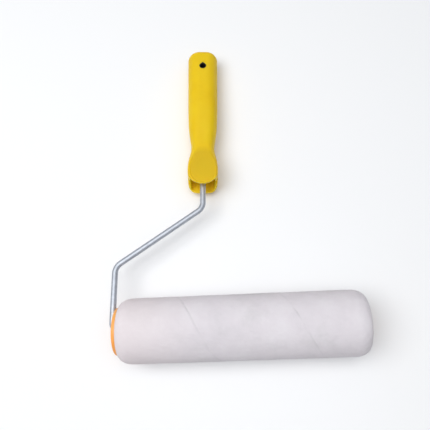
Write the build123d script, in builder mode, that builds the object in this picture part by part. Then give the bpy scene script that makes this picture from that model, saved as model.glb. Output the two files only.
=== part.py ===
"""Cage-frame paint roller: bent rod frame, hollow moulded grip, spinning wire cage and slide-off pile cover.

It lies the way it is put down on a bench: the cover rests on the floor along its whole width and the
end of the grip touches the floor too. Millimetres, +Z up, roller axle along X, grip towards +Y.
The origin is on the floor, under the middle of the whole roller.
"""

from build123d import *
from math import asin, atan2, cos, hypot, radians, sin, tan
import os

# ---- driving dimensions ----------------------------------------------------------------------
# cover: a pile sleeve on a plastic core, the common 9 inch size
COVER_LENGTH = 230.0
PILE_RADIUS = 31.0
CORE_BORE_RADIUS = 19.05
CORE_WALL = 1.5
PILE_END_ROUND_AXIAL = 12.0
PILE_END_ROUND_RADIAL = 8.5

# rod frame
ROD_RADIUS = 3.0
LEG_X = -124.8
LOWER_BEND_H = 63.8
UPPER_BEND_H = 123.3
HANDLE_X = -34.7
BEND_RADIUS = 12.0
AXLE_BEND_RADIUS = 9.0
HANDLE_LEAN = 1.08
HANDLE_TURN = 4.0
SHANK_INSERTED = 92.0
SHANK_FLAT_WIDTH = 9.0
SHANK_FLAT_THICKNESS = 3.4
SHANK_FLAT_LENGTH = 14.0
SHANK_FLAT_CORNER = 1.2
AXLE_END_X = 109.2
AXLE_END_CHAMFER = 0.7

# grip
GRIP_MOUTH_H = 146.0
GRIP_LENGTH = 174.0
GRIP_END_ROUND = 9.5
END_ROUND_TURNS = (0, 20, 40, 60, 76, 90)
GRIP_WALL = 2.5
GRIP_END_WALL = 2.8
HOLLOW_END_ROUND = 7.0
# width, thickness and corner radius of the grip at even steps, from a little before its mouth, which is cut
# back afterwards, to where its end rounds off
GRIP_LEAD_IN = 2
GRIP_OUTLINES = [
    (28.0, 28.8, 4.6),
    (29.6, 28.7, 4.6),
    (31.0, 28.6, 4.6),
    (32.2, 28.2, 4.9),
    (30.4, 26.2, 6.8),
    (25.3, 23.5, 9.4),
    (28.3, 24.3, 11.0),
    (31.6, 26.2, 12.0),
    (32.9, 27.4, 12.8),
    (33.4, 27.9, 13.2),
    (33.6, 28.0, 13.3),
    (33.9, 28.0, 13.4),
    (34.2, 28.0, 13.4),
    (34.5, 28.0, 13.4),
]
MOUTH_NOTCH_DEPTH = 11.0
MOUTH_NOTCH_HALF_ANGLE = 40.0
MOUTH_NOTCH_ROUND = 5.0
LIP_SPARE = 1.2
FRONT_LIP_CORNER = 15.0
REAR_LIP_CORNER = 9.8
REAR_LIP_CUT = 0.4
THUMB_REST_DEPTH = 0.8
THUMB_REST_MARGIN = 2.0
THUMB_REST_ACROSS = 0.5
THUMB_REST_LENGTH = 45.0
THUMB_REST_SLOPE = 1.8
THUMB_REST_BEVEL = 50.0
THUMB_REST_CLEAR = 3.0
HANG_HOLE_STATION = 149.5
HANG_HOLE_ACROSS = 0.2
HANG_HOLE_RADIUS = 3.95
HANG_HOLE_POINT_HALF_ANGLE = 48.0
HANG_BORE_RADIUS = 3.2
HANG_EYE_RADIUS = 8.5
HANG_EYE_INSET = 0.3

# core insert inside the grip
CORE_INSERT_START = 24.0
CORE_INSERT_RADIUS = 6.5
CORE_INSERT_RIB = 2.2

# cage: everything that goes inside the cover clears its core
COVER_CLEARANCE = 0.3
WIRE_COUNT = 5
FIRST_WIRE_ANGLE = 90.0
WIRE_RADIUS = 1.2
WIRE_CLEARANCE = 0.05
WIRE_END_RADIUS = 16.2
WIRE_HOOK_RADIUS = 10.6
WIRE_BEND_RADIUS = 1.8
WIRE_BOW_BEND_RADIUS = 1500.0
CAP_SPIGOT_RADIUS = 18.6
CAP_CUP_RADIUS = 14.8
CAP_HUB_RADIUS = 8.0
CAP_RECESS_RADIUS = 9.5
CAP_RECESS_FLARE = 1.5
CAP_WEB = 3.0
CAP_FLANGE_RADIUS = 22.3
CAP_FLANGE_THICKNESS = 4.8
CAP_FLANGE_ROUND = 1.4
CAP_NOSE = 2.6
INNER_RECESS_DEPTH = 9.3
INNER_HOOK_DEPTH = 16.5
INNER_SPIGOT_DEPTH = 21.0
INNER_HUB_DEPTH = 26.0
OUTER_CAP_FACE_X = 112.0
OUTER_RECESS_DEPTH = 7.5
OUTER_HOOK_DEPTH = 14.5
OUTER_SPIGOT_DEPTH = 19.0
OUTER_HUB_DEPTH = 24.0
SLOT_BOTTOM_RADIUS = 9.5
RETAINER_GAP = 0.8
RETAINER_THICKNESS = 2.5
BUSH_RADIUS = 5.75
BUSH_FLANGE_RADIUS = 7.4
BUSH_FLANGE = 1.4
RUNNING_CLEARANCE = 0.05
END_PLAY = 0.3
SPACER_RADIUS = 17.9
SPACER_THICKNESS = 4.0
SPACER_BORE_RADIUS = 3.6
SPACER_NOTCH_LENGTH = 2.8
SPACER_HOLE_PLACE = 10.0
SPACER_HOLE_RADIUS = 3.0
PLUG_THICKNESS = 1.6
PLUG_ROUND = 0.6

# small steel parts on the axle
COLLAR_RADIUS = 5.2
COLLAR_THICKNESS = 2.4
WASHER_RADIUS = 7.0
WASHER_THICKNESS = 0.8
PUSH_NUT_RADIUS = 6.2
PUSH_NUT_THICKNESS = 1.0
PUSH_NUT_SLOTS = 6
PUSH_NUT_SLOT_LENGTH = 2.4
PUSH_NUT_SLOT_WIDTH = 0.9

# ---- where the roller stands -----------------------------------------------------------------
# The frame's plane is tipped so that the lowest point of the rounded grip end is on the floor.
turn = radians(HANDLE_TURN)
end_width, end_thickness, end_corner = GRIP_OUTLINES[-1]
end_flat_half = (end_thickness / 2 - end_corner) * cos(turn) + (end_width / 2 - end_corner) * sin(turn)
end_round_h = GRIP_MOUTH_H + GRIP_LENGTH - GRIP_END_ROUND
end_round_n = end_flat_half + end_corner - GRIP_END_ROUND
tip_angle = asin((PILE_RADIUS - GRIP_END_ROUND) / hypot(end_round_h, end_round_n)) - atan2(end_round_n, end_round_h)
grip_far_y = end_round_h * cos(tip_angle) + end_round_n * sin(tip_angle) + GRIP_END_ROUND
axle_x = -(COVER_LENGTH / 2 + LEG_X - ROD_RADIUS) / 2
axle_y = -(grip_far_y - PILE_RADIUS) / 2

ROLLER_CENTRE = Vector(axle_x, axle_y, PILE_RADIUS)
ACROSS = Vector(1, 0, 0)
ALONG = Vector(0, cos(tip_angle), -sin(tip_angle))
FRONT = Vector(0, sin(tip_angle), cos(tip_angle))
frame_plane = Plane(origin=ROLLER_CENTRE, x_dir=ACROSS, z_dir=FRONT)
axle_plane = Plane(origin=ROLLER_CENTRE, x_dir=(0, 1, 0), z_dir=ACROSS)
axle = Axis(ROLLER_CENTRE, ACROSS)

lean = radians(HANDLE_LEAN)
grip_dir = ACROSS * sin(lean) + ALONG * cos(lean)
grip_across = (ACROSS * cos(lean) - ALONG * sin(lean)) * cos(turn) - FRONT * sin(turn)
grip_front = grip_across.cross(grip_dir)
upper_bend = ROLLER_CENTRE + ACROSS * HANDLE_X + ALONG * UPPER_BEND_H
grip_mouth = upper_bend + grip_dir * (GRIP_MOUTH_H - UPPER_BEND_H)
grip_section = Plane(origin=grip_mouth, x_dir=grip_front, z_dir=grip_dir)
grip_face = Plane(origin=grip_mouth, x_dir=grip_across, z_dir=grip_front)
grip_side = Plane(origin=grip_mouth, x_dir=grip_dir, z_dir=grip_across)
hang_hole = grip_mouth + grip_dir * HANG_HOLE_STATION + grip_across * HANG_HOLE_ACROSS
hang_hole_plane = Plane(origin=hang_hole, x_dir=grip_across, z_dir=grip_front)

REACH = 40.0  # further than any part of the grip from its own axis

os.makedirs("parts", exist_ok=True)


def save(part, name):
    part.label = name
    export_step(part, f"parts/{name}.step")


def ring(face_x, thickness, outer_radius, inner_radius, mode=Mode.ADD):
    """Adds a flat ring about the axle to the part being built, or cuts it away."""
    with BuildSketch(axle_plane.offset(face_x)) as face:
        Circle(outer_radius)
        if inner_radius:
            Circle(inner_radius, mode=Mode.SUBTRACT)
    extrude(face.sketch, amount=thickness, mode=mode)


# ---- frame: rod ------------------------------------------------------------------------------
shank_end_h = GRIP_MOUTH_H + SHANK_INSERTED
shank_end_x = HANDLE_X + (shank_end_h - UPPER_BEND_H) * tan(lean)
with BuildPart() as rod:
    with BuildLine(frame_plane):
        rod_line = FilletPolyline(
            (AXLE_END_X, 0),
            (LEG_X, 0),
            (LEG_X, LOWER_BEND_H),
            (HANDLE_X, UPPER_BEND_H),
            (shank_end_x, shank_end_h),
            radius=[AXLE_BEND_RADIUS, BEND_RADIUS, BEND_RADIUS],
        )
    with BuildSketch(Plane(origin=rod_line @ 0, z_dir=rod_line % 0)):
        Circle(ROD_RADIUS)
    sweep()
    chamfer(rod.edges().group_by(Axis.X)[-1], length=AXLE_END_CHAMFER)
    # the shank's end is squashed flat, so that it can't turn in the grip
    with BuildSketch(grip_section.offset(SHANK_INSERTED - SHANK_FLAT_LENGTH)):
        RectangleRounded(SHANK_FLAT_THICKNESS, SHANK_FLAT_WIDTH, SHANK_FLAT_CORNER)
    extrude(amount=SHANK_FLAT_LENGTH)
save(rod.part, "rod")


# ---- frame: grip -----------------------------------------------------------------------------
def grip_outline(station, width, thickness, corner):
    """One outline of the grip, square to it."""
    with BuildSketch(grip_section.offset(station)) as outline:
        RectangleRounded(thickness, width, corner)
    return outline.sketch


def grip_loft(inset, length, end_round):
    """Lofts the grip's shape, drawn in by inset, from its mouth to a rounded end."""
    pitch = (length - end_round) / (len(GRIP_OUTLINES) - 1 - GRIP_LEAD_IN)
    side_outlines = []
    for i, (width, thickness, corner) in enumerate(GRIP_OUTLINES):
        place = (i - GRIP_LEAD_IN) * pitch
        side_outlines.append(grip_outline(place, width - 2 * inset, thickness - 2 * inset, corner - inset))
    loft(side_outlines)
    end_outlines = []
    for degrees in END_ROUND_TURNS:
        place = length - end_round * (1 - sin(radians(degrees)))
        drawn_in = inset + end_round * (1 - cos(radians(degrees)))
        end_outlines.append(grip_outline(place, width - 2 * drawn_in, thickness - 2 * drawn_in, corner - drawn_in))
    loft(end_outlines)


def cut_to_hang_hole(mode):
    """Cuts the hang hole, round with a pointed top, square through the part, or keeps only what is in it."""
    tangent = radians(90 - HANG_HOLE_POINT_HALF_ANGLE)
    side_x = HANG_HOLE_RADIUS * sin(tangent)
    side_y = HANG_HOLE_RADIUS * cos(tangent)
    point_y = HANG_HOLE_RADIUS / sin(radians(HANG_HOLE_POINT_HALF_ANGLE))
    with BuildSketch(hang_hole_plane) as teardrop:
        Circle(HANG_HOLE_RADIUS)
        with BuildLine():
            Polyline((-side_x, side_y), (0, point_y), (side_x, side_y), (0, 0), close=True)
        make_face()
    extrude(teardrop.sketch, amount=REACH, both=True, mode=mode)


def round_lip(corner, side, cut):
    """Rounds the mouth's front lip (side +1) or rear lip (side -1), as seen from the front, and cuts it back."""
    width = GRIP_OUTLINES[GRIP_LEAD_IN][0] + LIP_SPARE
    with BuildSketch(grip_face) as corners:
        Rectangle(2 * REACH, 2 * REACH)
        with Locations((0, cut)):
            RectangleRounded(width, 2 * REACH, corner, align=(Align.CENTER, Align.MIN), mode=Mode.SUBTRACT)
    extrude(corners.sketch, amount=side * REACH, mode=Mode.SUBTRACT)


def cut_mouth_notch():
    """Cuts the V that leaves a front and a rear lip, as seen from the side."""
    half = MOUTH_NOTCH_DEPTH * tan(radians(MOUTH_NOTCH_HALF_ANGLE))
    with BuildSketch(grip_side) as notch:
        with BuildLine():
            Polyline((MOUTH_NOTCH_DEPTH, 0), (0, half), (-REACH, half), (-REACH, -half), (0, -half), close=True)
        make_face()
        fillet(notch.vertices().sort_by(Axis(grip_mouth, grip_dir))[-1], radius=MOUTH_NOTCH_ROUND)
    extrude(notch.sketch, amount=REACH, both=True, mode=Mode.SUBTRACT)


def cut_thumb_rest():
    """Sinks a flat oval thumb rest with a bevelled border into the front lip."""
    half_thickness = GRIP_OUTLINES[GRIP_LEAD_IN][1] / 2
    slope = radians(THUMB_REST_SLOPE)
    floor_origin = grip_mouth + grip_front * (half_thickness - THUMB_REST_DEPTH)
    floor_along = grip_dir * cos(slope) - grip_front * sin(slope)
    floor_plane = Plane(origin=floor_origin, x_dir=grip_across, z_dir=grip_across.cross(floor_along))
    width = GRIP_OUTLINES[GRIP_LEAD_IN][0] - 2 * THUMB_REST_MARGIN
    middle = THUMB_REST_MARGIN + THUMB_REST_LENGTH / 2
    outlines = []
    for height in (0, THUMB_REST_CLEAR):
        spread = 2 * height * tan(radians(THUMB_REST_BEVEL))
        with BuildSketch(floor_plane.offset(height)) as outline:
            with Locations((THUMB_REST_ACROSS, middle)):
                RectangleRounded(width + spread, THUMB_REST_LENGTH + spread, (width + spread) / 2 - 1)
        outlines.append(outline.sketch)
    loft(outlines, ruled=True, mode=Mode.SUBTRACT)


with BuildPart() as hollow:
    grip_loft(GRIP_WALL, GRIP_LENGTH - GRIP_END_WALL, HOLLOW_END_ROUND)

with BuildPart() as handle_shell:
    grip_loft(0, GRIP_LENGTH, GRIP_END_ROUND)
    cut_thumb_rest()
    add(hollow.part, mode=Mode.SUBTRACT)
    cut_mouth_notch()
    round_lip(FRONT_LIP_CORNER, 1, 0)
    round_lip(REAR_LIP_CORNER, -1, REAR_LIP_CUT)
    cut_to_hang_hole(Mode.SUBTRACT)
save(handle_shell.part, "handle_shell")

# ---- frame: core insert, the black moulding inside the grip that grips the shank ------------------
with BuildPart() as insert_stock:
    with BuildSketch(grip_section.offset(CORE_INSERT_START)):
        Circle(CORE_INSERT_RADIUS)
        Rectangle(REACH, CORE_INSERT_RIB)
        Rectangle(CORE_INSERT_RIB, REACH)
    extrude(amount=HANG_HOLE_STATION - CORE_INSERT_START)
    with BuildSketch(hang_hole_plane):
        Circle(HANG_EYE_RADIUS)
    extrude(amount=REACH, both=True)

# its eye fills the hang hole's rim, almost out to the grip's surface
with BuildPart() as hang_eye:
    grip_loft(HANG_EYE_INSET, GRIP_LENGTH - HANG_EYE_INSET, GRIP_END_ROUND - HANG_EYE_INSET)
    cut_to_hang_hole(Mode.INTERSECT)

with BuildPart() as handle_core:
    add(hollow.part)
    add(insert_stock.part, mode=Mode.INTERSECT)
    add(rod.part, mode=Mode.SUBTRACT)
    add(hang_eye.part)
    with BuildSketch(hang_hole_plane):
        Circle(HANG_BORE_RADIUS)
    extrude(amount=REACH, both=True, mode=Mode.SUBTRACT)
save(handle_core.part, "handle_core")

# ---- frame: steel parts on the axle -----------------------------------------------------------
inner_cap_x = -COVER_LENGTH / 2 - COVER_CLEARANCE - CAP_FLANGE_THICKNESS
inner_web_x = inner_cap_x + INNER_RECESS_DEPTH
inner_hub_end_x = inner_cap_x + INNER_HUB_DEPTH
inner_washer_x = inner_web_x - BUSH_FLANGE - END_PLAY - WASHER_THICKNESS
outer_web_x = OUTER_CAP_FACE_X - OUTER_RECESS_DEPTH
outer_hub_end_x = OUTER_CAP_FACE_X - OUTER_HUB_DEPTH
outer_washer_x = outer_web_x + BUSH_FLANGE + END_PLAY

# a collar swaged on the axle next to the bend keeps the cage off the rod's leg
with BuildPart() as stop_collar:
    ring(inner_washer_x - COLLAR_THICKNESS, COLLAR_THICKNESS, COLLAR_RADIUS, ROD_RADIUS)
save(stop_collar.part, "stop_collar")

with BuildPart() as inner_washer:
    ring(inner_washer_x, WASHER_THICKNESS, WASHER_RADIUS, ROD_RADIUS + RUNNING_CLEARANCE)
save(inner_washer.part, "inner_washer")

with BuildPart() as outer_washer:
    ring(outer_washer_x, WASHER_THICKNESS, WASHER_RADIUS, ROD_RADIUS + RUNNING_CLEARANCE)
save(outer_washer.part, "outer_washer")

# push-on nut: a thin disc whose slotted bore bites the end of the axle
with BuildPart() as push_nut:
    nut_x = outer_washer_x + WASHER_THICKNESS
    ring(nut_x, PUSH_NUT_THICKNESS, PUSH_NUT_RADIUS, ROD_RADIUS)
    with BuildSketch(axle_plane.offset(nut_x)):
        with PolarLocations(ROD_RADIUS, PUSH_NUT_SLOTS):
            Rectangle(PUSH_NUT_SLOT_LENGTH, PUSH_NUT_SLOT_WIDTH)
    extrude(amount=PUSH_NUT_THICKNESS, mode=Mode.SUBTRACT)
save(push_nut.part, "push_nut")


# ---- cage: end caps, which turn on the axle ----------------------------------------------------
def wire_direction(i):
    """The direction from the axle to wire i."""
    turn = radians(FIRST_WIRE_ANGLE + 360 * i / WIRE_COUNT)
    return Vector(0, cos(turn), sin(turn))


def spin_outline(face_x, inward, outline):
    """Spins a half outline, given as (depth behind the cap's face, radius), about the axle."""
    with BuildSketch(frame_plane) as half:
        with BuildLine():
            Polyline([(face_x + inward * depth, radius) for depth, radius in outline], close=True)
        make_face()
    revolve(half.sketch, axis=axle)


def cut_wire_slots(hook_x, inward):
    """Cuts the slots, open towards the middle of the cage, that the hooked wire ends drop into."""
    for i in range(WIRE_COUNT):
        bottom = ROLLER_CENTRE + ACROSS * hook_x + wire_direction(i) * SLOT_BOTTOM_RADIUS
        with BuildSketch(Plane(origin=bottom, x_dir=ACROSS * inward, z_dir=wire_direction(i))) as slot:
            Circle(WIRE_RADIUS + WIRE_CLEARANCE)
            Rectangle(REACH, 2 * (WIRE_RADIUS + WIRE_CLEARANCE), align=(Align.MIN, Align.CENTER))
        extrude(slot.sketch, amount=REACH, mode=Mode.SUBTRACT)


inner_hook_x = inner_cap_x + INNER_HOOK_DEPTH
outer_hook_x = OUTER_CAP_FACE_X - OUTER_HOOK_DEPTH

with BuildPart() as inner_cap:
    inner_outline = [
        (0, CAP_RECESS_RADIUS + CAP_RECESS_FLARE),
        (0, CAP_FLANGE_RADIUS),
        (CAP_FLANGE_THICKNESS, CAP_FLANGE_RADIUS),
        (CAP_FLANGE_THICKNESS, CAP_SPIGOT_RADIUS),
        (INNER_SPIGOT_DEPTH, CAP_SPIGOT_RADIUS),
        (INNER_SPIGOT_DEPTH, CAP_CUP_RADIUS),
        (INNER_RECESS_DEPTH + CAP_WEB, CAP_CUP_RADIUS),
        (INNER_RECESS_DEPTH + CAP_WEB, CAP_HUB_RADIUS),
        (INNER_HUB_DEPTH, CAP_HUB_RADIUS),
        (INNER_HUB_DEPTH, BUSH_RADIUS),
        (INNER_RECESS_DEPTH, BUSH_RADIUS),
        (INNER_RECESS_DEPTH, CAP_RECESS_RADIUS),
    ]
    spin_outline(inner_cap_x, 1, inner_outline)
    flange_edges = inner_cap.edges().filter_by(GeomType.CIRCLE).group_by(SortBy.RADIUS)[-1]
    fillet(flange_edges, radius=CAP_FLANGE_ROUND)
    cut_wire_slots(inner_hook_x, 1)
save(inner_cap.part, "inner_cap")

with BuildPart() as outer_cap:
    outer_outline = [
        (0, CAP_RECESS_RADIUS),
        (0, CAP_SPIGOT_RADIUS - CAP_NOSE),
        (CAP_NOSE, CAP_SPIGOT_RADIUS),
        (OUTER_SPIGOT_DEPTH, CAP_SPIGOT_RADIUS),
        (OUTER_SPIGOT_DEPTH, CAP_CUP_RADIUS),
        (OUTER_RECESS_DEPTH + CAP_WEB, CAP_CUP_RADIUS),
        (OUTER_RECESS_DEPTH + CAP_WEB, CAP_HUB_RADIUS),
        (OUTER_HUB_DEPTH, CAP_HUB_RADIUS),
        (OUTER_HUB_DEPTH, BUSH_RADIUS),
        (OUTER_RECESS_DEPTH, BUSH_RADIUS),
        (OUTER_RECESS_DEPTH, CAP_RECESS_RADIUS),
    ]
    spin_outline(OUTER_CAP_FACE_X, -1, outer_outline)
    cut_wire_slots(outer_hook_x, -1)
save(outer_cap.part, "outer_cap")

# nylon bushes, pressed into the caps' hubs, run on the axle
with BuildPart() as inner_bush:
    ring(inner_web_x - BUSH_FLANGE, BUSH_FLANGE, BUSH_FLANGE_RADIUS, ROD_RADIUS + RUNNING_CLEARANCE)
    ring(inner_web_x, inner_hub_end_x - inner_web_x, BUSH_RADIUS, ROD_RADIUS + RUNNING_CLEARANCE)
save(inner_bush.part, "inner_bush")

with BuildPart() as outer_bush:
    ring(outer_web_x, BUSH_FLANGE, BUSH_FLANGE_RADIUS, ROD_RADIUS + RUNNING_CLEARANCE)
    ring(outer_hub_end_x, outer_web_x - outer_hub_end_x, BUSH_RADIUS, ROD_RADIUS + RUNNING_CLEARANCE)
save(outer_bush.part, "outer_bush")

# rings pressed into the caps' cups lock the hooked wire ends in their slots
with BuildPart() as inner_retainer:
    ring(inner_hook_x + WIRE_RADIUS + RETAINER_GAP, RETAINER_THICKNESS, CAP_CUP_RADIUS, CAP_HUB_RADIUS)
save(inner_retainer.part, "inner_retainer")

with BuildPart() as outer_retainer:
    retainer_x = outer_hook_x - WIRE_RADIUS - RETAINER_GAP - RETAINER_THICKNESS
    ring(retainer_x, RETAINER_THICKNESS, CAP_CUP_RADIUS, CAP_HUB_RADIUS)
save(outer_retainer.part, "outer_retainer")

with BuildPart() as hub_plug:
    ring(OUTER_CAP_FACE_X - PLUG_THICKNESS, PLUG_THICKNESS, CAP_RECESS_RADIUS, 0)
    fillet(hub_plug.edges().group_by(Axis.X)[-1], radius=PLUG_ROUND)
save(hub_plug.part, "hub_plug")

# ---- cage: bowed spring wires, hooked into both caps, and the disc that spaces them ------------------
wire_bow_radius = CORE_BORE_RADIUS - COVER_CLEARANCE - WIRE_RADIUS
for i in range(WIRE_COUNT):
    with BuildPart() as cage_wire:
        wire_plane = Plane(origin=ROLLER_CENTRE, x_dir=ACROSS, z_dir=ACROSS.cross(wire_direction(i)))
        with BuildLine(wire_plane):
            wire_line = FilletPolyline(
                (inner_hook_x, WIRE_HOOK_RADIUS),
                (inner_hook_x, WIRE_END_RADIUS),
                (0, wire_bow_radius),
                (outer_hook_x, WIRE_END_RADIUS),
                (outer_hook_x, WIRE_HOOK_RADIUS),
                radius=[WIRE_BEND_RADIUS, WIRE_BOW_BEND_RADIUS, WIRE_BEND_RADIUS],
            )
        with BuildSketch(Plane(origin=wire_line @ 0, z_dir=wire_line % 0)):
            Circle(WIRE_RADIUS)
        sweep()
    save(cage_wire.part, f"cage_wire_{i + 1}")

with BuildPart() as wire_spacer:
    with BuildSketch(axle_plane.offset(-SPACER_THICKNESS / 2)):
        Circle(SPACER_RADIUS)
        Circle(SPACER_BORE_RADIUS, mode=Mode.SUBTRACT)
        with PolarLocations(wire_bow_radius, WIRE_COUNT, start_angle=FIRST_WIRE_ANGLE):
            SlotOverall(SPACER_NOTCH_LENGTH, 2 * (WIRE_RADIUS + WIRE_CLEARANCE), mode=Mode.SUBTRACT)
        with PolarLocations(SPACER_HOLE_PLACE, WIRE_COUNT, start_angle=FIRST_WIRE_ANGLE):
            Circle(SPACER_HOLE_RADIUS, mode=Mode.SUBTRACT)
    extrude(amount=SPACER_THICKNESS)
save(wire_spacer.part, "wire_spacer")

# ---- cover -----------------------------------------------------------------------------------
core_radius = CORE_BORE_RADIUS + CORE_WALL
with BuildPart() as core_tube:
    ring(-COVER_LENGTH / 2, COVER_LENGTH, core_radius, CORE_BORE_RADIUS)
save(core_tube.part, "core_tube")

with BuildPart() as pile_sleeve:
    end_x = COVER_LENGTH / 2
    round_x = end_x - PILE_END_ROUND_AXIAL
    round_r = PILE_RADIUS - PILE_END_ROUND_RADIAL
    with BuildSketch(frame_plane) as half:
        with BuildLine():
            Polyline((-end_x, round_r), (-end_x, core_radius), (end_x, core_radius), (end_x, round_r))
            EllipticalCenterArc((round_x, round_r), PILE_END_ROUND_AXIAL, PILE_END_ROUND_RADIAL, 0, arc_size=90)
            Line((round_x, PILE_RADIUS), (-round_x, PILE_RADIUS))
            EllipticalCenterArc((-round_x, round_r), PILE_END_ROUND_AXIAL, PILE_END_ROUND_RADIAL, 90, arc_size=90)
        make_face()
    revolve(axis=axle)
save(pile_sleeve.part, "pile_sleeve")
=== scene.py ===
"""Paint roller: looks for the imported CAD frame. Metres, in the CAD frame."""

import math

import bpy
import numpy as np
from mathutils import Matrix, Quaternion, Vector, noise


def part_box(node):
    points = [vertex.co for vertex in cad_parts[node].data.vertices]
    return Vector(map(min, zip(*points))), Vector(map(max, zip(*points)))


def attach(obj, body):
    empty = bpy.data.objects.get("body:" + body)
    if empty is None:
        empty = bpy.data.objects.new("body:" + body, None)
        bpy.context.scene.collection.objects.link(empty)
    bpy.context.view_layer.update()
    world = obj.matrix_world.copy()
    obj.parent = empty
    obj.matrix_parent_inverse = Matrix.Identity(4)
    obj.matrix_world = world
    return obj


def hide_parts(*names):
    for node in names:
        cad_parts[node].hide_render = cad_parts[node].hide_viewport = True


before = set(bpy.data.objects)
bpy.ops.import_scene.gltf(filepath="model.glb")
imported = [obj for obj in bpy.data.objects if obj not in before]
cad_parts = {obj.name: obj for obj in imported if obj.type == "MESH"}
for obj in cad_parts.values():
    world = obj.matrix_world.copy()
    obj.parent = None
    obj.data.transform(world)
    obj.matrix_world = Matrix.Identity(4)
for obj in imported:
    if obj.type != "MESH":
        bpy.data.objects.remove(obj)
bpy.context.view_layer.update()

MM = 0.001
rng = np.random.default_rng(7)

# ---- the frame's own places ---------------------------------------------------------------------
pile_low, pile_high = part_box("pile_sleeve")
core_low, core_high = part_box("core_tube")
AXLE = (pile_low + pile_high) / 2  # the roller's centre
PILE_RADIUS = (pile_high.z - pile_low.z) / 2
PILE_HALF = (pile_high.x - pile_low.x) / 2
CORE_RADIUS = (core_high.z - core_low.z) / 2

# the grip's own directions, its mouth and the flat floor of its thumb rest, as the CAD model builds them
FRAME_TIP = math.radians(3.0905)
HANDLE_LEAN = math.radians(1.08)
HANDLE_TURN = math.radians(4.0)
REST_SLOPE = math.radians(1.8)
ALONG = Vector((0, math.cos(FRAME_TIP), -math.sin(FRAME_TIP)))
FRONT = Vector((0, math.sin(FRAME_TIP), math.cos(FRAME_TIP)))
GRIP_DIR = Vector((math.sin(HANDLE_LEAN), 0, 0)) + ALONG * math.cos(HANDLE_LEAN)
GRIP_LEVEL = Vector((math.cos(HANDLE_LEAN), 0, 0)) - ALONG * math.sin(HANDLE_LEAN)
GRIP_ACROSS = GRIP_LEVEL * math.cos(HANDLE_TURN) - FRONT * math.sin(HANDLE_TURN)
GRIP_FRONT = GRIP_ACROSS.cross(GRIP_DIR)
SHANK_FOOT = AXLE + Vector((-34.7 * MM, 0, 0)) + ALONG * 123.3 * MM
GRIP_MOUTH = SHANK_FOOT + GRIP_DIR * 22.7 * MM
REST_POINT = GRIP_MOUTH + GRIP_FRONT * 13.5 * MM
REST_NORMAL = GRIP_FRONT * math.cos(REST_SLOPE) + GRIP_DIR * math.sin(REST_SLOPE)
REST_REACH = 46 * MM

# ---- small helpers ------------------------------------------------------------------------------


def link(obj):
    bpy.context.scene.collection.objects.link(obj)
    return obj


def new_material(name):
    """An empty node material with its Principled shader and output."""
    material = bpy.data.materials.new(name)
    material.use_nodes = True
    tree = material.node_tree
    tree.nodes.clear()
    output = tree.nodes.new("ShaderNodeOutputMaterial")
    shader = tree.nodes.new("ShaderNodeBsdfPrincipled")
    tree.links.new(shader.outputs["BSDF"], output.inputs["Surface"])
    return material, tree, shader


def set_values(shader, values):
    """Sets the shader's own sockets by name."""
    for name, value in values.items():
        shader.inputs[name].default_value = value


def coordinates(tree, scale=(1.0, 1.0, 1.0)):
    """Object coordinates, which are metres in the CAD frame, stretched by scale."""
    source = tree.nodes.new("ShaderNodeTexCoord")
    mapping = tree.nodes.new("ShaderNodeMapping")
    mapping.inputs["Scale"].default_value = scale
    tree.links.new(source.outputs["Object"], mapping.inputs["Vector"])
    return mapping.outputs["Vector"]


def noise_node(tree, vector, scale, detail=3.0, roughness=0.55):
    node = tree.nodes.new("ShaderNodeTexNoise")
    node.inputs["Scale"].default_value = scale
    node.inputs["Detail"].default_value = detail
    node.inputs["Roughness"].default_value = roughness
    tree.links.new(vector, node.inputs["Vector"])
    return node.outputs["Fac"]


def ramp(tree, factor, stops):
    """A colour ramp through (position, (r, g, b)) stops."""
    node = tree.nodes.new("ShaderNodeValToRGB")
    elements = node.color_ramp.elements
    while len(elements) < len(stops):
        elements.new(0.5)
    for element, (position, colour) in zip(elements, stops):
        element.position = position
        element.color = (*colour, 1.0)
    tree.links.new(factor, node.inputs["Fac"])
    return node.outputs["Color"]


def spread(tree, value, low, high, start=0.0, stop=1.0, smooth=False):
    """Maps start..stop on to low..high and holds the end values past them."""
    node = tree.nodes.new("ShaderNodeMapRange")
    node.interpolation_type = "SMOOTHSTEP" if smooth else "LINEAR"
    node.inputs["From Min"].default_value = start
    node.inputs["From Max"].default_value = stop
    node.inputs["To Min"].default_value = low
    node.inputs["To Max"].default_value = high
    tree.links.new(value, node.inputs["Value"])
    return node.outputs["Result"]


MIX_COLOUR_A = 6  # the Mix node's sockets for colours share their names with those for other types
MIX_COLOUR_B = 7
MIX_COLOUR_RESULT = 2


def mixed(tree, colour, other, factor):
    """Mixes a plain colour into another by factor."""
    node = tree.nodes.new("ShaderNodeMix")
    node.data_type = "RGBA"
    tree.links.new(factor, node.inputs["Factor"])
    tree.links.new(colour, node.inputs[MIX_COLOUR_A])
    node.inputs[MIX_COLOUR_B].default_value = (*other, 1.0)
    return node.outputs[MIX_COLOUR_RESULT]


def bump(tree, shader, height, distance, strength=1.0):
    node = tree.nodes.new("ShaderNodeBump")
    node.inputs["Distance"].default_value = distance
    node.inputs["Strength"].default_value = strength
    tree.links.new(height, node.inputs["Height"])
    tree.links.new(node.outputs["Normal"], shader.inputs["Normal"])


def distance_along(tree, where, origin, direction):
    """How far a place is from origin, measured along direction."""
    away = tree.nodes.new("ShaderNodeVectorMath")
    away.operation = "SUBTRACT"
    tree.links.new(where, away.inputs[0])
    away.inputs[1].default_value = origin
    dot = tree.nodes.new("ShaderNodeVectorMath")
    dot.operation = "DOT_PRODUCT"
    tree.links.new(away.outputs["Vector"], dot.inputs[0])
    dot.inputs[1].default_value = direction
    return dot.outputs["Value"]


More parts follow.
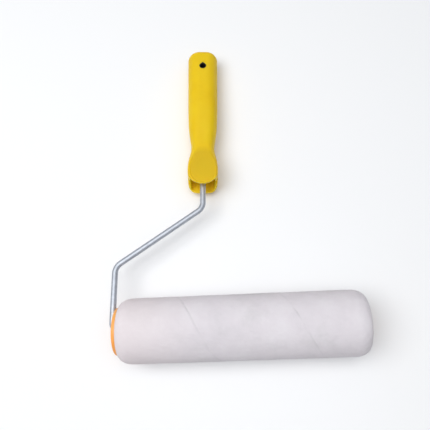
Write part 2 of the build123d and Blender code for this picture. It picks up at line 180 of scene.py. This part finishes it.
def near_zero(tree, value, full, none):
    """1 where value is within full of zero, falling to 0 at none."""
    size = tree.nodes.new("ShaderNodeMath")
    size.operation = "ABSOLUTE"
    tree.links.new(value, size.inputs[0])
    return spread(tree, size.outputs["Value"], 1.0, 0.0, full, none)


def product(tree, a, b):
    node = tree.nodes.new("ShaderNodeMath")
    node.operation = "MULTIPLY"
    tree.links.new(a, node.inputs[0])
    tree.links.new(b, node.inputs[1])
    return node.outputs["Value"]


# ---- materials ----------------------------------------------------------------------------------
# colours are linear; noise scales are per metre, or on metal per metre stretched by METAL_STRETCH
YELLOW_TONES = ((0.86, 0.53, 0.008), (0.89, 0.56, 0.010), (0.91, 0.585, 0.013))
# painted shade: a darker yellow for the thumb rest's floor
YELLOW_REST_PAINTED_SHADE = (0.74, 0.475, 0.012)
# painted light: a lighter yellow for the thin walls inside the mouth
YELLOW_INSIDE_PAINTED_LIGHT = (0.93, 0.72, 0.03)
BLACK_TONES = ((0.006, 0.006, 0.006), (0.009, 0.009, 0.009), (0.013, 0.013, 0.013))
ORANGE_TONES = ((0.92, 0.36, 0.075), (0.95, 0.41, 0.10), (0.96, 0.46, 0.13))
NYLON_TONES = ((0.70, 0.69, 0.65), (0.76, 0.75, 0.71), (0.8, 0.79, 0.75))
CORE_TONES = ((0.66, 0.67, 0.68), (0.72, 0.73, 0.74), (0.77, 0.78, 0.79))
PLATED_TONES = ((0.49, 0.52, 0.57), (0.60, 0.63, 0.68))
SPRING_TONES = ((0.42, 0.42, 0.43), (0.6, 0.6, 0.61))
PILE_TONES = ((0.71, 0.67, 0.70), (0.76, 0.715, 0.745), (0.80, 0.765, 0.79))
# painted shade: darker grey patches on the pile
PILE_PAINTED_SHADE_PATCH = (0.52, 0.515, 0.51)
# painted warm light: the pile is pinker and lighter towards the leg's end
PILE_PAINTED_WARM_LIGHT = (0.81, 0.73, 0.74)
# painted shade: the colour laid in the wound seam's groove
PILE_SEAM_PAINTED_SHADE = (0.50, 0.49, 0.49)
PAINTED_SHADE_PATCH_MOST = 0.36
PAINTED_WARM_LIGHT_MOST = 0.75
PAINTED_WARM_LIGHT_END = 0.2  # how far from the middle the painted warm light ends, as a part of half the pile's length
PEEL_HEIGHT = 0.03 * MM
DRAWING_HEIGHT = 0.02 * MM
FLUFF_HEIGHT = 0.4 * MM
PLASTIC_GLOSS_DRIFT = 0.06
METAL_STRETCH = (40.0, 40.0, 40.0)
THIN_PLASTIC_DEPTH = 3 * MM
GRIP_LIGHT_DEPTH = 6 * MM
GRIP_LIGHT_TONE = (1.0, 0.9, 0.12)  # how deep red, green and blue go, against the depth above


def moulded_plastic(name, tones, roughness, specular=0.45, subsurface=0.0):
    """Moulded plastic: slow colour drift, a faint orange-peel surface and uneven gloss."""
    deep, plain, light = tones
    low_gloss = roughness + PLASTIC_GLOSS_DRIFT
    high_gloss = roughness - PLASTIC_GLOSS_DRIFT
    material, tree, shader = new_material(name)
    where = coordinates(tree)
    drift = noise_node(tree, where, 28.0, detail=4.0)
    colour = ramp(tree, drift, [(0.3, deep), (0.5, plain), (0.7, light)])
    tree.links.new(colour, shader.inputs["Base Color"])
    wear = noise_node(tree, where, 190.0, detail=5.0)
    tree.links.new(spread(tree, wear, high_gloss, low_gloss), shader.inputs["Roughness"])
    peel = noise_node(tree, where, 900.0, detail=2.0)
    bump(tree, shader, peel, PEEL_HEIGHT)
    set_values(shader, {"Specular IOR Level": specular, "Subsurface Weight": subsurface})
    set_values(shader, {"Subsurface Scale": THIN_PLASTIC_DEPTH})
    return material, tree, shader, colour


def drawn_metal(name, tones, roughness):
    """Plated or drawn metal: cloudy tone and fine marks that vary the gloss."""
    dark, bright = tones
    material, tree, shader = new_material(name)
    where = coordinates(tree, METAL_STRETCH)
    cloud = noise_node(tree, where, 6.0, detail=5.0)
    tree.links.new(ramp(tree, cloud, [(0.32, dark), (0.68, bright)]), shader.inputs["Base Color"])
    marks = noise_node(tree, where, 60.0, detail=6.0, roughness=0.7)
    tree.links.new(spread(tree, marks, roughness - 0.08, roughness + 0.1), shader.inputs["Roughness"])
    bump(tree, shader, marks, DRAWING_HEIGHT)
    set_values(shader, {"Metallic": 1.0})
    return material


def pile_material():
    """Off-white pile, soft and matte: faintly mottled, with patches of painted shade, painted warm light at
    the leg's end and painted shade darkening the wound seam.
    """
    material, tree, shader = new_material("pile")
    where = coordinates(tree)
    deep, plain, light = PILE_TONES
    mottle = noise_node(tree, where, 36.0, detail=5.0, roughness=0.6)
    colour = ramp(tree, mottle, [(0.25, deep), (0.5, plain), (0.75, light)])
    # painted shade in darker grey patches
    painted_shade_patches = noise_node(tree, where, 24.0, detail=6.0, roughness=0.65)
    colour = mixed(tree, colour, PILE_PAINTED_SHADE_PATCH, spread(tree, painted_shade_patches, 0.0, PAINTED_SHADE_PATCH_MOST, 0.5, 0.74))
    split = tree.nodes.new("ShaderNodeSeparateXYZ")
    tree.links.new(where, split.inputs["Vector"])
    # painted warm light, strongest at the leg's end
    leg_end = AXLE.x - PILE_HALF
    painted_warm_light_stop = AXLE.x - PAINTED_WARM_LIGHT_END * PILE_HALF
    painted_warm_light = spread(tree, split.outputs["X"], PAINTED_WARM_LIGHT_MOST, 0.0, leg_end, painted_warm_light_stop, smooth=True)
    colour = mixed(tree, colour, PILE_PAINTED_WARM_LIGHT, painted_warm_light)
    # the seam attribute carries the painted shade in the seam's groove
    seam = tree.nodes.new("ShaderNodeAttribute")
    seam.attribute_name = "seam"
    colour = mixed(tree, colour, PILE_SEAM_PAINTED_SHADE, seam.outputs["Fac"])
    tree.links.new(colour, shader.inputs["Base Color"])
    fluff = noise_node(tree, where, 1300.0, detail=4.0, roughness=0.7)
    bump(tree, shader, fluff, FLUFF_HEIGHT, strength=0.7)
    set_values(shader, {"Roughness": 0.97, "Specular IOR Level": 0.08})
    return material


# how far from the mouth's centre the inner walls take the full painted light, and where that painted light
# has gone
INSIDE_REACH = (
    (GRIP_ACROSS, 13.2 * MM, 14.0 * MM),
    (GRIP_FRONT, 11.2 * MM, 11.8 * MM),
    (GRIP_DIR, 18 * MM, 28 * MM),
)
REST_FLOOR_NEAR = 0.3 * MM
REST_FLOOR_FAR = 1.2 * MM


def painted_light_inside_mouth(tree, where):
    """1 on the thin walls inside the grip's mouth, where light is painted, 0 elsewhere."""
    inside = None
    for direction, full, none in INSIDE_REACH:
        part = near_zero(tree, distance_along(tree, where, GRIP_MOUTH, direction), full, none)
        inside = part if inside is None else product(tree, inside, part)
    return inside


def grip_material():
    """Yellow plastic: painted shade darkens the thumb rest's floor, painted light brightens the mouth's
    thin walls.
    """
    material, tree, shader, colour = moulded_plastic("grip_yellow", YELLOW_TONES, 0.47, 0.2, 0.65)
    set_values(shader, {"Subsurface Scale": GRIP_LIGHT_DEPTH, "Subsurface Radius": GRIP_LIGHT_TONE})
    where = coordinates(tree)
    off_floor = distance_along(tree, where, REST_POINT, REST_NORMAL)
    on_floor = near_zero(tree, off_floor, REST_FLOOR_NEAR, REST_FLOOR_FAR)
    from_mouth = distance_along(tree, where, REST_POINT, GRIP_DIR)
    by_mouth = near_zero(tree, from_mouth, 0.8 * REST_REACH, REST_REACH)
    # painted shade: the thumb rest's floor near the mouth is given the darker yellow
    painted_shade_on_rest = product(tree, on_floor, by_mouth)
    colour = mixed(tree, colour, YELLOW_REST_PAINTED_SHADE, painted_shade_on_rest)
    # painted light on the thin walls inside the mouth
    colour = mixed(tree, colour, YELLOW_INSIDE_PAINTED_LIGHT, painted_light_inside_mouth(tree, where))
    tree.links.new(colour, shader.inputs["Base Color"])
    return material


YELLOW = grip_material()
BLACK = moulded_plastic("insert_black", BLACK_TONES, 0.6)[0]
ORANGE = moulded_plastic("cap_orange", ORANGE_TONES, 0.42, specular=0.35, subsurface=0.1)[0]
NYLON = moulded_plastic("nylon", NYLON_TONES, 0.5, subsurface=0.1)[0]
CORE = moulded_plastic("core_plastic", CORE_TONES, 0.45)[0]
PLATED = drawn_metal("plated_steel", PLATED_TONES, 0.56)
SPRING = drawn_metal("spring_wire", SPRING_TONES, 0.34)
PILE = pile_material()

NODE_MATERIALS = {
    "rod": PLATED,
    "stop_collar": PLATED,
    "inner_washer": PLATED,
    "outer_washer": PLATED,
    "push_nut": PLATED,
    "handle_shell": YELLOW,
    "handle_core": BLACK,
    "inner_cap": ORANGE,
    "outer_cap": ORANGE,
    "inner_retainer": ORANGE,
    "outer_retainer": ORANGE,
    "hub_plug": ORANGE,
    "wire_spacer": ORANGE,
    "inner_bush": NYLON,
    "outer_bush": NYLON,
    "core_tube": CORE,
    **{f"cage_wire_{i}": SPRING for i in range(1, 6)},
}


def dress_cad_nodes():
    for name, material in NODE_MATERIALS.items():
        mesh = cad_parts[name].data
        mesh.materials.clear()
        mesh.materials.append(material)


# ---- pile ---------------------------------------------------------------------------------------
SEAM_PITCH = 95 * MM
SEAM_TURN_AT_CENTRE = math.radians(245.4)
SEAM_WIDTH = 0.75 * MM
SEAM_DEPTH = 0.35 * MM
# painted shade in the seam's groove: how dark at most, and how wide
SEAM_SHADE = 0.22
SEAM_SHADE_WIDTH = 1.2 * SEAM_WIDTH
SEAM_DRIFT = 45.0  # per metre
SEAM_FAINTEST = 0.1
SEAM_MEAN = 0.55
SEAM_SWING = 1.3
SEAM_LIP = 0.22 * MM  # the strip's edge stands up on the leg's side of the seam
SEAM_LIP_WIDTH = 7 * MM
LUMPS_PER_METRE = (30, 260, 700)  # broad lumps, tufts, fine grain
BROAD_HEIGHT = 0.22 * MM
TUFT_HEIGHT = 0.16 * MM
FINE_HEIGHT = 0.12 * MM
END_TUFT_HEIGHT = 0.35 * MM  # what the tufts gain at the very end
END_ROUND_AXIAL = 12 * MM
END_ROUND_RADIAL = 7.6 * MM
END_RINGS = 18
LEG_END_BULGE = 1.35 * MM  # how far the pile stands past the core's end, round the cap's flange
FREE_END_BULGE = 0.9 * MM
END_FOOT = 22.65 * MM  # the pile's inner radius past the core's end, clear of the cap's flange
SKIN_RADIUS = PILE_RADIUS - 0.45 * MM
CORE_SKIN = CORE_RADIUS + 0.05 * MM
CORE_END_GAP = 0.3 * MM
PILE_STEP = 0.72 * MM
FIBRES = 38000
FIBRE_LENGTH = (2.2 * MM, 4.2 * MM)
FIBRE_RADIUS = (0.05 * MM, 0.09 * MM)
FIBRE_LEAN = 0.5
FIBRE_LEAN_ALONG = 0.6  # of the lean round the roller
FIBRE_LAY = 0.15  # the fibres lie over one way round the roller
FIBRE_END_SPLAY = 0.9
FIBRE_END_GAP = 1.5 * MM
FIBRE_ROOT = 1.6 * MM
FIBRE_PROUD = 0.25 * MM
FIBRE_FACES = ((0, 1, 3), (1, 2, 3), (2, 0, 3), (2, 1, 0))


def seam_offset(x, turn):
    """Distance along the axle from a point of the pile to the nearest turn of the wound seam."""
    offset = (x / SEAM_PITCH - (turn - SEAM_TURN_AT_CENTRE) / (2 * math.pi)) % 1.0
    return (offset - round(offset)) * SEAM_PITCH


def seam_strength(x, turn):
    """How clear the seam is: it comes and goes along its length, SEAM_FAINTEST to 1."""
    drift = noise.noise(Vector((x * SEAM_DRIFT, math.cos(turn) * 2, math.sin(turn) * 2)))
    return min(1.0, max(SEAM_FAINTEST, SEAM_MEAN + SEAM_SWING * drift))


def seam_shade(x, turn):
    """How dark the painted shade in the seam's groove is at a point of the pile, 0 to 1."""
    nearness = math.exp(-((seam_offset(x, turn) / SEAM_SHADE_WIDTH) ** 2))
    return SEAM_SHADE * seam_strength(x, turn) * nearness


def lumps(x, turn):
    """Unevenness of the pile at each size of lump, about -1 to 1."""
    y = math.cos(turn) * PILE_RADIUS
    z = math.sin(turn) * PILE_RADIUS
    return [noise.noise(Vector((x * scale, y * scale, z * scale))) for scale in LUMPS_PER_METRE]


def past_straight(x, end_round):
    """How far x is along a rounded end of the pile, 0 on the straight part to 1 at end_round past it."""
    return min(1.0, max(0.0, abs(x) - (PILE_HALF - END_ROUND_AXIAL)) / end_round)


def end_drop(past):
    """What the rounded end takes off the pile's radius."""
    return END_ROUND_RADIAL * (1 - math.sqrt(max(0.0, 1 - past * past)))


def pile_surface(x, turn):
    """Radius of the pile at a place along the axle and a turn about it."""
    past = past_straight(x, END_ROUND_AXIAL + (LEG_END_BULGE if x < 0 else FREE_END_BULGE))
    broad, tuft, fine = lumps(x, turn)
    settle = 1 - past ** 4
    tuft_height = TUFT_HEIGHT + END_TUFT_HEIGHT * past
    offset = seam_offset(x, turn)
    seam = SEAM_DEPTH * seam_strength(x, turn) * math.exp(-((offset / SEAM_WIDTH) ** 2))
    lip = SEAM_LIP * math.exp(offset / SEAM_LIP_WIDTH) if offset < 0 else 0.0
    uneven = BROAD_HEIGHT * broad + tuft_height * tuft + FINE_HEIGHT * fine
    return SKIN_RADIUS - end_drop(past) + (lip - seam + uneven) * settle


def pile_rings():
    """Places along the axle of the pile's rings, closer together where the ends round off."""
    straight = PILE_HALF - END_ROUND_AXIAL
    count = round(2 * straight / PILE_STEP)
    middle = list(np.linspace(-straight, straight, count + 1))
    bend = [math.sin(t) for t in np.linspace(0, math.pi / 2, END_RINGS + 1)[1:]]
    leg_end = [-straight - b * (END_ROUND_AXIAL + LEG_END_BULGE) for b in reversed(bend)]
    free_end = [straight + b * (END_ROUND_AXIAL + FREE_END_BULGE) for b in bend]
    return leg_end + middle + free_end


def make_pile():
    """The pile as one closed sleeve: lumpy outer face with a wound seam, plain inner face on the core."""
    around = round(2 * math.pi * PILE_RADIUS / PILE_STEP)
    rings = pile_rings()
    turns = [2 * math.pi * k / around for k in range(around)]
    points = [(x, turn, pile_surface(x, turn)) for x in rings for turn in turns]
    end = PILE_HALF - CORE_END_GAP
    inner_rings = ((end, END_FOOT), (end, CORE_SKIN), (0.0, CORE_SKIN), (-end, CORE_SKIN), (-end, END_FOOT))
    points += [(x, turn, radius) for x, radius in inner_rings for turn in turns]
    vertices = [(AXLE.x + x, AXLE.y + r * math.cos(t), AXLE.z + r * math.sin(t)) for x, t, r in points]
    ring_count = len(rings) + len(inner_rings)
    faces = []
    for i in range(ring_count):
        row = i * around
        next_row = (i + 1) % ring_count * around
        for k in range(around):
            next_k = (k + 1) % around
            faces.append((row + k, row + next_k, next_row + next_k, next_row + k))
    mesh = bpy.data.meshes.new("pile_cover")
    mesh.from_pydata(vertices, [], faces)
    mesh.materials.append(PILE)
    mesh.polygons.foreach_set("use_smooth", [True] * len(mesh.polygons))
    # painted shade in the seam's groove, stored as the seam attribute
    shade = [seam_shade(x, t) if r > END_FOOT else 0.0 for x, t, r in points]
    mesh.attributes.new("seam", "FLOAT", "POINT").data.foreach_set("value", shade)
    mesh.validate()
    pile = link(bpy.data.objects.new("pile_cover", mesh))
    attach(pile, "cover")
    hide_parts("pile_sleeve")
    return pile


def fibre_points(x, turn, length, lean_along, lean_round, radius):
    """The three root corners and the tip of one fibre."""
    past = past_straight(x, END_ROUND_AXIAL)
    drop = end_drop(past)
    splay = FIBRE_END_SPLAY * past * past * math.copysign(1, x)
    foot = PILE_RADIUS - drop - FIBRE_ROOT
    out = Vector((0, math.cos(turn), math.sin(turn)))
    side = Vector((0, -math.sin(turn), math.cos(turn)))
    axis = Vector((1, 0, 0))
    base = AXLE + axis * x + out * foot
    along = (out + axis * (lean_along + splay) + side * lean_round).normalized()
    tip = base + along * length
    reach = math.hypot(tip.y - AXLE.y, tip.z - AXLE.z)
    limit = PILE_RADIUS + FIBRE_PROUD - drop
    if reach > limit:
        tip = base + along * length * (limit - foot) / (reach - foot)
    across = along.orthogonal().normalized()
    root = [base + (Quaternion(along, 2 * math.pi * corner / 3) @ across) * radius for corner in range(3)]
    return [*root, tip]


def make_fibres():
    """Single fibres that stand just proud of the pile and soften its outline."""
    x = rng.uniform(-PILE_HALF + FIBRE_END_GAP, PILE_HALF - FIBRE_END_GAP, FIBRES)
    turn = rng.uniform(0, 2 * math.pi, FIBRES)
    length = rng.uniform(*FIBRE_LENGTH, FIBRES)
    lean_along = rng.normal(0, FIBRE_LEAN, FIBRES) * FIBRE_LEAN_ALONG
    lean_round = rng.normal(FIBRE_LAY, FIBRE_LEAN, FIBRES)
    radius = rng.uniform(*FIBRE_RADIUS, FIBRES)
    vertices = []
    for fibre in zip(x, turn, length, lean_along, lean_round, radius):
        vertices += fibre_points(*fibre)
    first = np.arange(FIBRES)[:, None] * 4
    faces = np.concatenate([first + face for face in FIBRE_FACES]).reshape(-1, 3)
    mesh = bpy.data.meshes.new("pile_fibres")
    mesh.from_pydata(vertices, [], faces.tolist())
    mesh.materials.append(PILE)
    fibres = link(bpy.data.objects.new("pile_fibres", mesh))
    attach(fibres, "cover")
    return fibres


# ---- stage --------------------------------------------------------------------------------------
CAMERA_OFFSET = Vector((0.0002, -0.0293, 0.4389))  # from the roller's centre
CAMERA_AIM = Vector((-0.0219, 0.1126, 0.0))  # from the roller's centre
CAMERA_ROLL = math.radians(-11.25)
CAMERA_LENS = 37.63
FLOOR_SIZE = 6.0
FLOOR_DROP = 0.5 * MM
FLOOR_TONE = (0.93, 0.93, 0.93)
ZENITH = (0.85, 0.88, 0.92)
MIDWAY = (0.17, 0.175, 0.185)
HORIZON = (0.05, 0.05, 0.054)
MIDWAY_HEIGHT = 0.45
# name, place, disc size in metres, power in watts
LIGHTS = (
    ("key", (-0.75, -0.1, 1.45), 1.1, 12.0),
    ("top", (0.1, 0.0, 1.8), 1.0, 6.8),
)


def make_camera():
    data = bpy.data.cameras.new("camera")
    data.lens = CAMERA_LENS
    data.sensor_width = 36.0
    data.clip_start = 0.01
    camera = link(bpy.data.objects.new("camera", data))
    camera.location = AXLE + CAMERA_OFFSET
    look = (CAMERA_AIM - CAMERA_OFFSET).to_track_quat("-Z", "Y")
    camera.rotation_mode = "QUATERNION"
    camera.rotation_quaternion = look @ Quaternion((0, 0, 1), CAMERA_ROLL)
    bpy.context.scene.camera = camera


def area_light(name, place, size, power):
    """A round soft light aimed at the origin."""
    data = bpy.data.lights.new(name, "AREA")
    data.shape = "DISK"
    data.size = size
    data.energy = power
    light = link(bpy.data.objects.new(name, data))
    light.location = place
    light.rotation_euler = (-Vector(place)).to_track_quat("-Z", "Y").to_euler()


def make_floor():
    half = FLOOR_SIZE / 2
    corners = [(-half, -half, 0), (half, -half, 0), (half, half, 0), (-half, half, 0)]
    mesh = bpy.data.meshes.new("floor")
    mesh.from_pydata(corners, [], [(0, 1, 2, 3)])
    material, _, shader = new_material("floor")
    set_values(shader, {"Base Color": (*FLOOR_TONE, 1.0), "Roughness": 0.9})
    mesh.materials.append(material)
    floor = link(bpy.data.objects.new("floor", mesh))
    floor.location.z = -FLOOR_DROP


def make_sky():
    """A sky that is pale overhead and dark at the horizon, so that the sides of round pieces shade off."""
    world = bpy.data.worlds.new("world")
    world.use_nodes = True
    tree = world.node_tree
    where = tree.nodes.new("ShaderNodeTexCoord")
    split = tree.nodes.new("ShaderNodeSeparateXYZ")
    tree.links.new(where.outputs["Generated"], split.inputs["Vector"])
    sky = ramp(tree, split.outputs["Z"], [(0.0, HORIZON), (MIDWAY_HEIGHT, MIDWAY), (1.0, ZENITH)])
    tree.links.new(sky, tree.nodes["Background"].inputs["Color"])
    bpy.context.scene.world = world


make_camera()
make_floor()
make_sky()
for light in LIGHTS:
    area_light(*light)
bpy.context.scene.view_settings.view_transform = "Standard"
dress_cad_nodes()
make_pile()
make_fibres()
